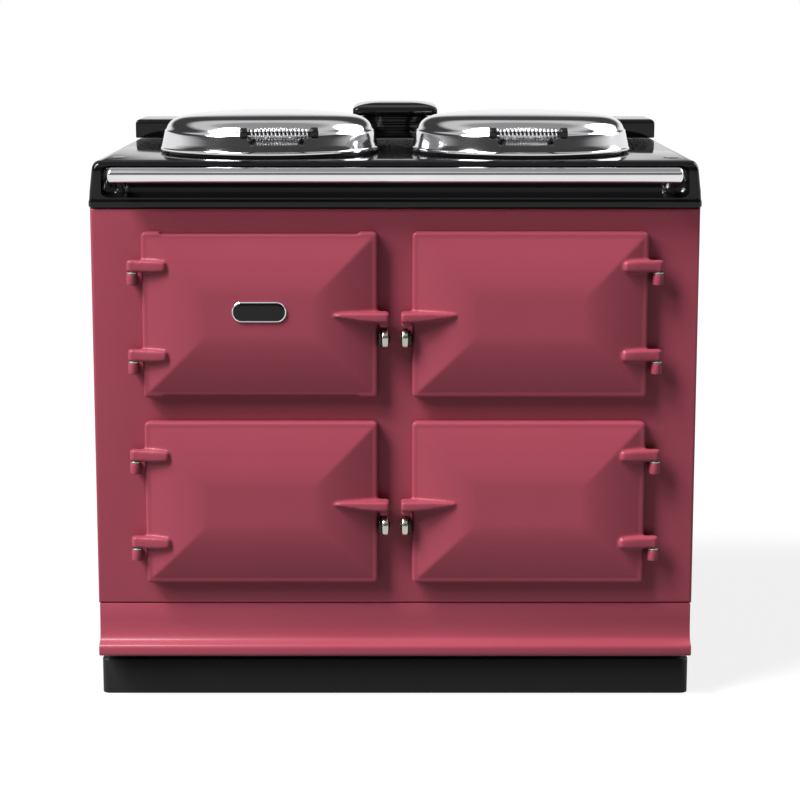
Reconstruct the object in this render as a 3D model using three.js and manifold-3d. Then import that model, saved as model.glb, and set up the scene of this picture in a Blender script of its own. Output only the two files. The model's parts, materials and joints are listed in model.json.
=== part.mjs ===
// Cast iron range cooker: four doors, two lidded hotplates, chrome handrail, on a set-back plinth.
// Millimetres, +Z up, the front faces -Y. The origin is under the middle of the cooker, on the floor.
import * as THREE from 'three';
import { mergeVertices } from 'three/addons/utils/BufferGeometryUtils.js';
import Module from 'manifold-3d';

const wasm = await Module();
wasm.setup();

// Body
const overallWidth = 987;
const bodyDepth = 698;
const lipProud = 2.5;
const plinthHeight = 59;
const plinthWall = 20;
const plinthSetback = 15;
const plinthSideInset = 1;
const plinthRearInset = 8;
const plinthCorner = 12;
const baseThickness = 16;
const baseInset = 12;
const mouldingHeight = 85;
const mouldingProud = 20;
const mouldingBand = 20;
const mouldingCoveRise = 38;
const mouldingCoveEase = 18;
const castWall = 12;
const frontReturn = 40;
const frontEdgeRadius = 6;
const panelThickness = 25;
const backThickness = 20;
const plateHeight = 75;
const seatGap = 0.3;
const sectionFilletShare = 0.98;

// Feet
const footInset = 75;
const footPadRadius = 26;
const footStemRadius = 10;

// Doors
const doorWidth = 380;
const doorHeight = 270;
const doorEdge = 22;
const doorCrown = 17;
const doorBevel = 82;
const doorGap = 1;
const doorLap = 14;
const doorColumnGap = 55;
const doorRowGap = 40;
const doorBottomMargin = 40;
const doorTopMargin = 37;
const reliefDepth = 4;
const reliefEnd = 30;
const plugClearance = 8;
const plugDepth = 34;
const mouthCorner = 14;

// Hinges
const hingeOut = 14.5;
const hingeProud = 20;
const eyeRadius = 10.5;
const armHeight = 22;
const armReach = 40;
const upperArmRise = 82;
const lowerArmDrop = 63;
const lugRadius = 9;
const lugHeight = 18;
const lugWeb = 9;
const pinRadius = 4.5;
const pinInLug = 14;
const pinInArm = 12;
const washerRadius = 9;
const washerThickness = 2.4;

// Handle spurs and catches
const spurLength = 70;
const spurOverhang = 18;
const spurProud = 44;
const spurThickness = 15;
const spurTipDrop = 17;
const wheelRadius = 17;
const wheelWidth = 10;
const wheelFromMiddle = 16;
const wheelDrop = 37;
const wheelProud = 22;
const axleRadius = 4;
const catchThickness = 4.5;
const catchHalfHeight = 13;

// Name plate
const namePlateWidth = 87;
const namePlateHeight = 33;
const namePlateThickness = 4;
const namePlateRise = 9;

// Ovens and controls
const ovenDepth = 480;
const ovenWall = 8;
const ovenCorner = 12;
const runnerWidth = 7;
const runnerHeight = 5;
const runnerPitch = 62;
const shelfDepth = 420;
const shelfWire = 5;
const shelfBars = 9;
const shelfPlay = 3;
const controlDepth = 120;
const knobRadius = 21;
const knobHeight = 24;
const knobPitch = 84;
const knobCount = 3;

// Handrail
const railRadius = 12.5;
const railLength = 912;
const railProud = 29.5;
const railDrop = 20;
const postRadius = 9;
const postFromEnd = 16;
const pocketDepth = 19;
const pocketEnd = 19;
const pocketTop = 8;
const pocketBottom = 14;

// Hotplates and lids
const lidSpacing = 428;
const lidFromFront = 232;
const hotplateRadius = 172;
const hotplateProud = 6;
const hotplateThickness = 26;
const hotplateLedge = 24;
const hotplateSkirt = 40;
const lidRadius = 186;
const lidHeight = 70;
const lidLift = 4;
const lidWall = 8;
const lidFilling = 60.5;
const lidSides = 48;
const lidHingeBack = 218;
const lidHingeRise = 30;
const hingeFootFront = 16;
const hingeFootRear = 24;
const hingeFootThickness = 7;
const knuckleWidth = 40;
const knuckleRadius = 12;
const lidPinRadius = 5;
const earThickness = 9;

// Spring handles
const handleRise = 43;
const handleProud = 24;
const handleRodRadius = 3;
const handlePostRadius = 5.5;
const handleBossRadius = 11.5;
const handleBossWidth = 12;
const handleSpan = 114;
const handleStemReach = 60;
const springWire = 4.2;
const springTurns = 15;
const springEndRadius = 6;
const springSwell = 2.7;

// Rear upstand and vent
const upstandHeight = 35;
const upstandFront = 571;
const upstandSideInset = 6;
const ventWidth = 126;
const ventHeight = 43;
const ventFront = 558;
const ventFins = 4;
const ventRearWall = 14;
const capWidth = 158;
const capHeight = 24;
const capLip = 12;

// Levels and places that follow
const panelHalf = overallWidth / 2 - lipProud;
const backY = bodyDepth - lipProud;
const bodyBottom = plinthHeight + baseThickness;
const frontBottom = bodyBottom + mouldingHeight;
const frontHeight = doorBottomMargin + 2 * doorHeight + doorRowGap + doorTopMargin;
const plateBottom = frontBottom + frontHeight;
const plateTop = plateBottom + plateHeight;
const doorX = doorColumnGap / 2 + doorWidth / 2;
const lowerDoorZ = frontBottom + doorBottomMargin + doorHeight / 2;
const upperDoorZ = lowerDoorZ + doorHeight + doorRowGap;
const mouthHalfWidth = doorWidth / 2 - doorLap;
const mouthHalfHeight = doorHeight / 2 - doorLap;
const hingeU = doorWidth / 2 + hingeOut;
const armRises = [upperArmRise, -lowerArmDrop];
const railY = -lipProud - railProud;
const railZ = plateTop - railDrop;
const lidX = lidSpacing / 2;
const frontMost = railY - railRadius;

// Finishes
const enamel = { color: 0xa04a5c, roughness: 0.3, metalness: 0.0 };
const blackEnamel = { color: 0x0c0c0d, roughness: 0.12, metalness: 0.0 };
const satinBlack = { color: 0x232324, roughness: 0.6, metalness: 0.0 };
const chrome = { color: 0xd8d9da, roughness: 0.12, metalness: 1.0 };
const castIron = { color: 0x2b2a29, roughness: 0.75, metalness: 0.3 };
const steel = { color: 0xa9a9a6, roughness: 0.35, metalness: 1.0 };
const ovenEnamel = { color: 0x1d1d1f, roughness: 0.5, metalness: 0.0 };

// Where a section (u, v) at station w lies, for pieces that run along X, Y or Z
const along = {
  x: (u, v, w) => [w, u, v],
  y: (u, v, w) => [u, w, v],
  z: (u, v, w) => [u, v, w],
};

// A geometry as a solid: shared corners merged, collapsed facets dropped, faces turned outwards
function solid(geometry) {
  const bare = geometry.clone();
  bare.deleteAttribute('normal');
  bare.deleteAttribute('uv');
  const merged = mergeVertices(bare, 1e-4);
  const points = merged.attributes.position.array;
  const facets = [];
  let volume = 0;
  for (let i = 0; i < merged.index.count; i += 3) {
    const facet = [0, 1, 2].map((k) => merged.index.getX(i + k));
    if (new Set(facet).size < 3) continue;
    facets.push(facet);
    const [a, b, c] = facet.map((k) => new THREE.Vector3().fromArray(points, 3 * k));
    volume += a.dot(b.cross(c));
  }
  const turned = volume < 0 ? facets.map(([a, b, c]) => [a, c, b]) : facets;
  return new wasm.Manifold(new wasm.Mesh({
    numProp: 3,
    vertProperties: new Float32Array(points),
    triVerts: new Uint32Array(turned.flat()),
  }));
}

function box(x0, x1, y0, y1, z0, z1) {
  const geometry = new THREE.BoxGeometry(Math.abs(x1 - x0), Math.abs(y1 - y0), Math.abs(z1 - z0));
  return solid(geometry.translate((x0 + x1) / 2, (y0 + y1) / 2, (z0 + z1) / 2));
}

// A closed skin over sections that all have the same number of points
function loft(sections) {
  const count = sections[0].length;
  const index = [];
  for (let s = 0; s + 1 < sections.length; s += 1) {
    for (let i = 0; i < count; i += 1) {
      const j = (i + 1) % count;
      const [a, b, c, d] = [s * count + i, s * count + j, (s + 1) * count + i, (s + 1) * count + j];
      index.push(a, b, d, a, d, c);
    }
  }
  const last = (sections.length - 1) * count;
  for (const [start, closesStart] of [[0, true], [last, false]]) {
    const flat = flatten(sections[start / count]);
    const turning = Math.sign(THREE.ShapeUtils.area(flat));
    for (const facet of THREE.ShapeUtils.triangulateShape(flat, [])) {
      const agrees = Math.sign(THREE.ShapeUtils.area(facet.map((k) => flat[k]))) === turning;
      const [a, b, c] = facet.map((k) => start + k);
      index.push(...(agrees === closesStart ? [a, c, b] : [a, b, c]));
    }
  }
  const geometry = new THREE.BufferGeometry();
  geometry.setAttribute('position', new THREE.Float32BufferAttribute(sections.flat(2), 3));
  geometry.setIndex(index);
  return solid(geometry);
}

// An end section's points in two dimensions, turning the same way as the section does
function flatten(outline) {
  const spans = [0, 1, 2].map((k) => {
    const values = outline.map((point) => point[k]);
    return Math.max(...values) - Math.min(...values);
  });
  const drop = spans.indexOf(Math.min(...spans));
  const [p, q] = [0, 1, 2].filter((k) => k !== drop);
  return outline.map((point) => new THREE.Vector2(point[p], point[q]));
}

function roundedSection(halfU, halfV, fillet, steps = 4) {
  const radius = Math.min(fillet, halfU * sectionFilletShare, halfV * sectionFilletShare);
  const section = [];
  for (const [su, sv, turn] of [[1, -1, -0.5], [1, 1, 0], [-1, 1, 0.5], [-1, -1, 1]]) {
    for (let i = 0; i <= steps; i += 1) {
      const angle = (turn + (0.5 * i) / steps) * Math.PI;
      const u = su * (halfU - radius) + radius * Math.cos(angle);
      section.push([u, sv * (halfV - radius) + radius * Math.sin(angle)]);
    }
  }
  return section;
}

function placed(section, axis, station, centreU = 0, centreV = 0) {
  return section.map(([u, v]) => along[axis](u + centreU, v + centreV, station));
}

function rod(axis, radius, from, to, centreU, centreV, sides = 20) {
  const circle = [];
  for (let i = 0; i < sides; i += 1) {
    const angle = ((i + 0.5) / sides) * 2 * Math.PI;
    circle.push([radius * Math.cos(angle), radius * Math.sin(angle)]);
  }
  return loft([from, to].map((station) => placed(circle, axis, station, centreU, centreV)));
}

// A profile of [radius, height] points turned about Z, or about the axis named
function revolve(profile, sides, axis = 'z') {
  const points = profile.map(([radius, height]) => new THREE.Vector2(radius, height));
  const geometry = new THREE.LatheGeometry(points, sides).rotateX(Math.PI / 2);
  if (axis === 'x') geometry.rotateY(Math.PI / 2);
  if (axis === 'y') geometry.rotateX(Math.PI / 2);
  return solid(geometry);
}

// A profile in the YZ plane drawn out along X
function extrudeAlongX(shape, from, to) {
  const geometry = new THREE.ExtrudeGeometry(shape, { depth: to - from, bevelEnabled: false, curveSegments: 6 });
  const [y, z, x] = [new THREE.Vector3(0, 1, 0), new THREE.Vector3(0, 0, 1), new THREE.Vector3(1, 0, 0)];
  geometry.applyMatrix4(new THREE.Matrix4().makeBasis(y, z, x));
  return solid(geometry.translate(from, 0, 0));
}

function meshOf(name, shape, finish) {
  const { vertProperties, triVerts } = shape.getMesh();
  const geometry = new THREE.BufferGeometry();
  geometry.setAttribute('position', new THREE.Float32BufferAttribute(Array.from(vertProperties), 3));
  geometry.setIndex(Array.from(triVerts));
  geometry.computeVertexNormals();
  const mesh = new THREE.Mesh(geometry, new THREE.MeshStandardMaterial(finish));
  mesh.name = name;
  return mesh;
}

// Plinth: one ring of board under the body, set back from its face
function plinth() {
  const frontY = plinthSetback;
  const rearY = backY - plinthRearInset;
  const middleY = (frontY + rearY) / 2;
  const halfX = panelHalf - plinthSideInset;
  const halfY = (rearY - frontY) / 2;
  const section = roundedSection(halfX, halfY, plinthCorner);
  const outer = loft([0, plinthHeight].map((z) => placed(section, 'z', z, 0, middleY)));
  const [inX, inFront, inRear] = [halfX - plinthWall, frontY + plinthWall, rearY - plinthWall];
  const inside = box(-inX, inX, inFront, inRear, -1, plinthHeight + 1);
  return outer.subtract(inside);
}

// Base plate: closes the body below and stands back from the plinth's face, which leaves the dark gap
function basePlate() {
  const inset = plinthSideInset + baseInset;
  const frontY = plinthSetback + baseInset;
  const rearY = backY - plinthRearInset - baseInset;
  return box(inset - panelHalf, panelHalf - inset, frontY, rearY, plinthHeight + seatGap, bodyBottom);
}

function foot() {
  const profile = [[0, 0], [footPadRadius, 0], [footPadRadius, 6], [footStemRadius, 12]];
  profile.push([footStemRadius, 30], [footStemRadius * 1.8, 30], [footStemRadius * 1.8, 42]);
  profile.push([footStemRadius, 42], [footStemRadius, plinthHeight], [0, plinthHeight]);
  return revolve(profile, 10);
}

// Base moulding: a round band, a soft ledge and a cove up to the front panel
function baseMoulding() {
  const bottom = bodyBottom + seatGap;
  const top = frontBottom;
  const ledge = bottom + mouldingBand;
  const shape = new THREE.Shape();
  shape.moveTo(frontReturn, bottom);
  shape.lineTo(4 - mouldingProud, bottom);
  shape.quadraticCurveTo(-mouldingProud, bottom, -mouldingProud, bottom + 4);
  shape.lineTo(-mouldingProud, ledge - 8);
  shape.quadraticCurveTo(-mouldingProud, ledge, 8 - mouldingProud, ledge + 3);
  shape.bezierCurveTo(-4, ledge + 8, 0, ledge + mouldingCoveEase, 0, ledge + mouldingCoveRise);
  shape.lineTo(0, top);
  shape.lineTo(frontReturn, top);
  const half = panelHalf - plinthSideInset - 1;
  return extrudeAlongX(shape, -half, half);
}

// Each door's place: sides is the way its hinge lies from its middle
const doorPlaces = [
  { name: 'upper_left', x: -doorX, z: upperDoorZ, side: -1 },
  { name: 'upper_right', x: doorX, z: upperDoorZ, side: 1 },
  { name: 'lower_left', x: -doorX, z: lowerDoorZ, side: -1 },
  { name: 'lower_right', x: doorX, z: lowerDoorZ, side: 1 },
];
const lugTopBelowArm = armHeight / 2 + washerThickness + 2 * seatGap;

// Front panel: a cast tray with returned edges and four mouths
function frontPanel() {
  const [z0, z1] = [frontBottom + seatGap, plateBottom - seatGap];
  const [halfZ, middleZ] = [(z1 - z0) / 2, (z0 + z1) / 2];
  const r = frontEdgeRadius;
  const steps = [[0, r], [r * 0.3, r * 0.3], [r, 0], [frontReturn, 0]];
  let panel = loft(steps.map(([y, inset]) => {
    return placed(roundedSection(panelHalf - inset, halfZ - inset, r), 'y', y, 0, middleZ);
  }));
  const inner = panelHalf - castWall;
  panel = panel.subtract(box(-inner, inner, castWall, frontReturn + 1, z0 + castWall, z1 - castWall));
  const mouth = roundedSection(mouthHalfWidth, mouthHalfHeight, mouthCorner, 3);
  for (const door of doorPlaces) {
    panel = panel.subtract(loft([-1, castWall + 1].map((y) => placed(mouth, 'y', y, door.x, door.z))));
  }
  return panel;
}

function sidePanel(side) {
  const [x0, x1] = [side * panelHalf, side * (panelHalf - panelThickness)];
  return box(x0, x1, frontReturn + seatGap, backY, bodyBottom + seatGap, plateBottom - seatGap);
}

function backPanel() {
  const half = panelHalf - panelThickness - seatGap;
  return box(-half, half, backY - backThickness, backY, bodyBottom + seatGap, plateBottom - seatGap);
}

// Top plate's edge: [height over its foot, inset from the lip]
const plateEdge = [[0, 1.2], [2, 0], [9, 0], [13, 1], [26, 1.8], [42, 3.5], [58, 5]];
plateEdge.push([68, 7.5], [73, 11.5], [75, 15.5]);

function lidCentreY() {
  return lidFromFront - lipProud;
}

// Top plate: rolled lip, sloping edge, the long pocket behind the handrail and two stepped holes
function topPlate() {
  const scale = plateHeight / plateEdge[plateEdge.length - 1][0];
  let plate = loft(plateEdge.map(([height, inset], i) => {
    const frontY = inset - lipProud;
    const half = overallWidth / 2 - inset;
    const z = plateBottom + (i === 0 ? 0 : height * scale);
    const corner = 10 + inset * 0.4;
    return placed(roundedSection(half, (backY - frontY) / 2, corner, 3), 'z', z, 0, (backY + frontY) / 2);
  }));
  plate = plate.subtract(railPocket());
  for (const x of [-lidX, lidX]) {
    const hole = hotplateRadius + 2;
    const seat = plateTop - hotplateThickness + hotplateProud;
    plate = plate.subtract(rod('z', hole, seat, plateTop + 1, x, lidCentreY(), 32));
    plate = plate.subtract(rod('z', hole - hotplateLedge, plateBottom - 1, plateTop, x, lidCentreY(), 32));
  }
  return plate;
}

// The pocket's section is a deep cove that comes out to the lip; it narrows round at both ends
function railPocket() {
  const [top, bottom] = [plateTop - pocketTop, plateBottom + pocketBottom];
  const shape = new THREE.Shape();
  shape.moveTo(-12, top);
  shape.lineTo(pocketDepth - 9, top);
  shape.quadraticCurveTo(pocketDepth, top, pocketDepth, top - 10);
  shape.lineTo(pocketDepth, top - 22);
  shape.bezierCurveTo(pocketDepth, bottom + 10, 6, bottom + 2, -12, bottom);
  const points = shape.getPoints(5);
  const half = panelHalf - pocketEnd;
  const middle = (top + bottom) / 2;
  const stations = [[-half, 0.55], [4 - half, 0.82], [12 - half, 1], [half - 12, 1], [half - 4, 0.82], [half, 0.55]];
  return loft(stations.map(([x, share]) => {
    return points.map(({ x: y, y: z }) => [x, (y + 12) * share - 12, middle + (z - middle) * (0.5 + share / 2)]);
  }));
}

// Door: a pillow of sections that bevel up to a soft crown, in the door's own frame (its middle at x = z = 0)
function door(side, relieved) {
  const back = -doorGap;
  const face = back - doorEdge;
  const [halfW, halfH] = [doorWidth / 2, doorHeight / 2];
  const rise = (share) => face - doorCrown * share;
  const steps = [[2.5, back, 7], [0, back - 3, 8], [0, face + 5, 8], [1.5, face + 1.5, 8], [5, rise(0.03), 8]];
  steps.push([doorBevel * 0.3, rise(0.3), 8], [doorBevel * 0.7, rise(0.7), 9], [doorBevel * 0.95, rise(0.9), 10]);
  steps.push([doorBevel * 1.15, rise(0.97), 10], [doorBevel * 1.4, rise(1), 10]);
  let shape = loft(steps.map(([inset, y, radius]) => {
    return placed(roundedSection(halfW - inset, halfH - inset, radius, 3), 'y', y);
  }));
  if (relieved) {
    const reach = halfW - reliefEnd;
    for (const end of [-1, 1]) {
      const edge = end * (halfH - reliefDepth);
      shape = shape.subtract(box(-reach, reach, face - 2, back + 1, edge, end * (halfH + 1)));
    }
  }
  for (const armRise of armRises) {
    shape = shape.add(hingeArm(side, armRise));
  }
  shape = shape.add(handleSpur(side));
  for (const armRise of armRises) {
    const bottom = armRise - armHeight / 2;
    const bore = rod('z', pinRadius + seatGap, bottom - 1, bottom + pinInArm + 1, side * hingeU, -hingeProud, 10);
    shape = shape.subtract(bore);
  }
  return shape;
}

// Hinge arm: an eye over the pin and a bar that sinks into the bevel
function hingeArm(side, armRise) {
  const half = armHeight / 2;
  const profile = [[0, -half], [eyeRadius - 1, -half], [eyeRadius, 2 - half], [eyeRadius, half - 2], [0, half]];
  const eye = revolve(profile, 12).translate([side * hingeU, -hingeProud, armRise]);
  const inner = doorWidth / 2 - armReach;
  const stations = [[hingeU, 1, 0], [doorWidth / 2 - 6, 1, 0], [inner + 14, 0.9, 0.5], [inner, 0.6, 2]];
  const bar = loft(stations.map(([u, share, sink]) => {
    const section = roundedSection(eyeRadius - 0.1, half * share, 2.5 * share + 0.5, 1);
    return placed(section, 'x', side * u, sink - hingeProud, armRise);
  }));
  return eye.add(bar);
}

// Handle spur: a pointed fin that grows to the free edge, past it, and drops a block over the catch wheel
function handleSpur(side) {
  const edge = doorWidth / 2;
  const tip = edge + spurOverhang;
  const [top, bottom] = [spurThickness * 0.45, -spurThickness * 0.55];
  const root = doorGap + doorEdge + doorCrown * 0.7;
  const stations = [[edge - spurLength, 0.08, root, 20], [edge - spurLength * 0.6, 0.5, spurProud - 5, 20]];
  stations.push([edge - spurLength * 0.25, 0.85, spurProud - 1, 14], [edge, 1, spurProud, 12]);
  stations.push([tip - 3, 1, spurProud, 12], [tip, 0.75, spurProud - 3, 15]);
  const fin = loft(stations.map(([u, share, front, rear]) => {
    const section = roundedSection((front - rear) / 2, ((top - bottom) / 2) * share, 3.4 * share + 0.1, 2);
    return placed(section, 'x', -side * u, -(front + rear) / 2, ((top + bottom) / 2) * share);
  }));
  const block = roundedSection((spurProud - 20) / 2, (spurTipDrop + top - 4) / 2, 3, 2);
  const middle = (top - 4 - spurTipDrop) / 2;
  const drop = loft([edge + 2, tip - 1].map((u) => placed(block, 'x', -side * u, -(spurProud + 8) / 2, middle)));
  return fin.add(drop);
}

// Plug: the insulated inner door, tapered so that it swings clear of the mouth
function doorPlug() {
  const front = seatGap - doorGap;
  const [halfW, halfH] = [mouthHalfWidth - plugClearance, mouthHalfHeight - plugClearance];
  const steps = [[0, front], [0, plugDepth - 8], [3, plugDepth - 3], [8, plugDepth]];
  return loft(steps.map(([inset, y]) => placed(roundedSection(halfW - inset, halfH - inset, 14, 3), 'y', y)));
}

// Hinge pin: its lug on a web that stands on the front panel, the washer and the pin above them
function hingePin() {
  const lugFoot = pinInLug - lugHeight;
  const washerFoot = pinInLug + seatGap;
  const washerHead = washerFoot + washerThickness;
  const profile = [[0, lugFoot], [lugRadius, lugFoot], [lugRadius, pinInLug], [pinRadius, pinInLug]];
  profile.push([pinRadius, washerFoot], [washerRadius, washerFoot], [washerRadius, washerHead]);
  profile.push([pinRadius, washerHead], [pinRadius, washerHead + pinInArm], [0, washerHead + pinInArm]);
  const web = box(-lugWeb / 2, lugWeb / 2, 0, hingeProud - seatGap, lugFoot + 1, pinInLug - 2);
  return revolve(profile, 10).add(web);
}

// Catch bracket: a cheek that stands on the front panel, its axle and the axle's head
function catchBracket(side) {
  const cheek = wheelFromMiddle + wheelWidth / 2 + seatGap;
  const outer = cheek + catchThickness;
  const inner = wheelFromMiddle - wheelWidth / 2 - seatGap;
  const section = roundedSection((wheelProud + 10) / 2, catchHalfHeight, 9, 3);
  let shape = loft([cheek, outer].map((u) => placed(section, 'x', side * u, -(wheelProud + 10) / 2 - seatGap)));
  shape = shape.add(rod('x', axleRadius, side * (inner - 2), side * (cheek + 1), -wheelProud, 0, 12));
  return shape.add(rod('x', axleRadius + 2.5, side * (inner - 2), side * inner, -wheelProud, 0, 12));
}

// Catch wheel about its own middle, turning about X
function catchWheel() {
  const half = wheelWidth / 2;
  const bore = axleRadius + seatGap;
  const profile = [[bore, -half], [wheelRadius - 2, -half], [wheelRadius, 2 - half]];
  profile.push([wheelRadius, half - 2], [wheelRadius - 2, half], [bore, half], [bore, -half]);
  return revolve(profile, 18, 'x');
}

function namePlate() {
  const section = roundedSection(namePlateWidth / 2, namePlateHeight / 2, namePlateHeight * 0.36, 5);
  const back = -(doorGap + doorEdge + doorCrown + seatGap);
  const steps = [[1, 0], [1, 1], [0.985, 2.4], [0.86, 3.4], [0.5, 4]];
  return loft(steps.map(([share, height]) => {
    const scaled = section.map(([u, v]) => [u * share, v * share]);
    return placed(scaled, 'y', back - (height / 4) * namePlateThickness);
  }));
}

// Oven box: cast, open at the mouth, with two runner ribs on each cheek; its middle at x = z = 0
function ovenBox(depth, ribbed) {
  const front = castWall + seatGap;
  const outer = roundedSection(mouthHalfWidth + ovenWall, mouthHalfHeight + ovenWall, ovenCorner + ovenWall, 3);
  const inner = roundedSection(mouthHalfWidth, mouthHalfHeight, ovenCorner, 3);
  let shape = loft([front, front + depth].map((y) => placed(outer, 'y', y)));
  const cavity = [[front - 1, 1], [front + depth - ovenWall, 1]];
  shape = shape.subtract(loft(cavity.map(([y]) => placed(inner, 'y', y))));
  if (!ribbed) return shape;
  for (const side of [-1, 1]) {
    for (const level of [-0.5, 0.5]) {
      const z = level * runnerPitch;
      const wall = side * (mouthHalfWidth + 1);
      const tip = side * (mouthHalfWidth - runnerWidth);
      shape = shape.add(box(wall, tip, front + plugDepth, front + depth - ovenWall + 1, z - runnerHeight, z));
    }
  }
  return shape;
}

// Grid shelf lying on a pair of runners
function ovenShelf() {
  const half = mouthHalfWidth - shelfPlay;
  const front = castWall + plugDepth + shelfPlay;
  const wire = shelfWire / 2;
  const level = seatGap + wire;
  let shape = box(-half, half, front, front + shelfWire, 0, shelfWire);
  shape = shape.add(box(-half, half, front + shelfDepth - shelfWire, front + shelfDepth, 0, shelfWire));
  const pitch = (2 * half - shelfWire) / (shelfBars - 1);
  for (let i = 0; i < shelfBars; i += 1) {
    const x = wire - half + i * pitch;
    shape = shape.add(box(x - wire, x + wire, front + 1, front + shelfDepth - 1, 0.5, shelfWire - 0.5));
  }
  return shape.translate([0, 0, level - wire]);
}

function controlKnob() {
  const skirt = 5;
  const profile = [[0, 0], [knobRadius, 0], [knobRadius, skirt], [knobRadius * 0.82, skirt + 2]];
  profile.push([knobRadius * 0.72, knobHeight], [0, knobHeight]);
  const body = revolve(profile, 20, 'y');
  const grip = box(-3, 3, -knobHeight - 4, -knobHeight + 4, -knobRadius * 0.8, knobRadius * 0.8);
  return body.add(grip);
}

function handrail() {
  const [half, r] = [railLength / 2, railRadius];
  const profile = [[0, -half], [r * 0.6, -half], [r * 0.9, 3 - half], [r, 7 - half]];
  profile.push([r, half - 7], [r * 0.9, half - 3], [r * 0.6, half], [0, half]);
  return revolve(profile, 18, 'x').translate([0, railY, railZ]);
}

// Rail post: leans from the tube down to the cove of the pocket, where its collar is fitted to the plate
function railPost(side, plate) {
  const x = side * (railLength / 2 - postFromEnd);
  const [seatY, seatZ] = [pocketDepth * 0.55, plateBottom + pocketBottom + 8];
  const lean = Math.atan2(railZ - seatZ, seatY - railY);
  const reach = Math.hypot(railZ - seatZ, seatY - railY);
  const r = postRadius;
  const profile = [[0, 0], [r, 0], [r, reach - 7], [r + 4, reach - 5], [r + 4, reach + 6], [0, reach + 6]];
  const turn = -90 - THREE.MathUtils.radToDeg(lean);
  const post = revolve(profile, 12).rotate([turn, 0, 0]).translate([x, railY, railZ]);
  return post.subtract(plate.translate([0, -seatGap, seatGap]));
}

function hotplate() {
  const top = hotplateProud;
  const foot = hotplateProud - hotplateThickness + seatGap;
  const skirtRadius = hotplateRadius - hotplateLedge;
  const profile = [[0, foot - hotplateSkirt], [skirtRadius, foot - hotplateSkirt], [skirtRadius, foot]];
  profile.push([hotplateRadius, foot], [hotplateRadius, top - 2], [hotplateRadius - 2, top], [0, top]);
  return revolve(profile, 32);
}

// Lid's outline from rim to crown: [share of its radius, share of its height over the lift]
const lidOutline = [[0.985, 0], [1, 0.03], [0.978, 0.44], [0.966, 0.5], [0.952, 0.53], [0.93, 0.66]];
lidOutline.push([0.895, 0.77], [0.83, 0.86], [0.72, 0.92], [0.4, 0.98], [0, 1]);

function lidOuter(margin) {
  const dome = lidHeight - lidLift;
  return lidOutline.map(([share, rise], i) => {
    const last = i === lidOutline.length - 1;
    return [last ? 0 : share * lidRadius + margin, lidLift + rise * dome + (rise > 0.8 ? margin : 0)];
  });
}

// Lid: a domed shell with its filling, a hollow over the hotplate and the knuckle of its hinge
function lidShell() {
  const hollow = lidRadius - lidWall;
  const ceiling = lidHeight - lidFilling;
  const profile = [...lidOuter(0), [0, ceiling], [hollow, ceiling], [hollow, lidLift]];
  profile.push(profile[0]);
  const shell = revolve(profile, lidSides);
  const half = knuckleWidth / 2;
  const [y, z] = [lidHingeBack, lidHingeRise];
  const root = lidRadius * 0.94;
  const arm = loft([-half, half].map((x) => {
    return [[x, root, z - 14], [x, y, z - 8], [x, y, z + 8], [x, root, z + 11]];
  }));
  const knuckle = rod('x', knuckleRadius, -half, half, y, z, 20);
  const bore = rod('x', lidPinRadius + seatGap, -half - 1, half + 1, y, z, 16);
  return shell.add(arm).add(knuckle).subtract(bore);
}

// Lid hinge: a foot on the top plate, two ears and the pin between them
function lidHinge() {
  const inner = knuckleWidth / 2 + seatGap;
  const outer = inner + earThickness;
  const [y, z] = [lidHingeBack, lidHingeRise];
  const profile = [[y - hingeFootFront, seatGap], [y + hingeFootFront, seatGap], [y + knuckleRadius, z]];
  profile.push([y + 8, z + 10], [y, z + knuckleRadius], [y - 8, z + 10], [y - knuckleRadius, z]);
  let shape = box(-outer, outer, y - hingeFootFront, y + hingeFootRear, seatGap, hingeFootThickness);
  for (const side of [-1, 1]) {
    const ear = loft([inner, outer].map((x) => profile.map(([v, w]) => [side * x, v, w])));
    shape = shape.add(ear);
  }
  return shape.add(rod('x', lidPinRadius, -inner - 1, inner + 1, y, z, 16));
}

// Lid handle: two posts out of the lid's shoulder and the rod that carries the spring
function lidHandle() {
  const y = -lidRadius - handleProud;
  const half = handleSpan / 2;
  let shape = rod('x', handleRodRadius, -half, half, y, handleRise, 10);
  for (const side of [-1, 1]) {
    const stem = rod('y', handlePostRadius, y, y + handleStemReach, side * half, handleRise, 10);
    const [r, w] = [handleBossRadius, handleBossWidth / 2];
    const boss = revolve([[0, -w], [r - 1.5, -w], [r, 2 - w], [r, w - 2], [r - 1.5, w], [0, w]], 14, 'x');
    shape = shape.add(stem).add(boss.translate([side * half, y, handleRise]));
  }
  return shape.subtract(revolve([[0, lidLift - 1], ...lidOuter(seatGap)], lidSides));
}

// Barrel spring round the rod: one wire, its coils swelling to the middle, its ends straight to the bosses
const springSteps = springTurns * 8;
const springHalf = (handleSpan - handleBossWidth) / 2 - seatGap;

function springPoint(step) {
  const share = step / springSteps;
  const angle = share * springTurns * 2 * Math.PI;
  const radius = springEndRadius + springSwell * Math.sin(share * Math.PI) ** 0.7;
  const coiled = springHalf - springWire;
  return new THREE.Vector3((2 * share - 1) * coiled, radius * Math.cos(angle), radius * Math.sin(angle));
}

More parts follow.
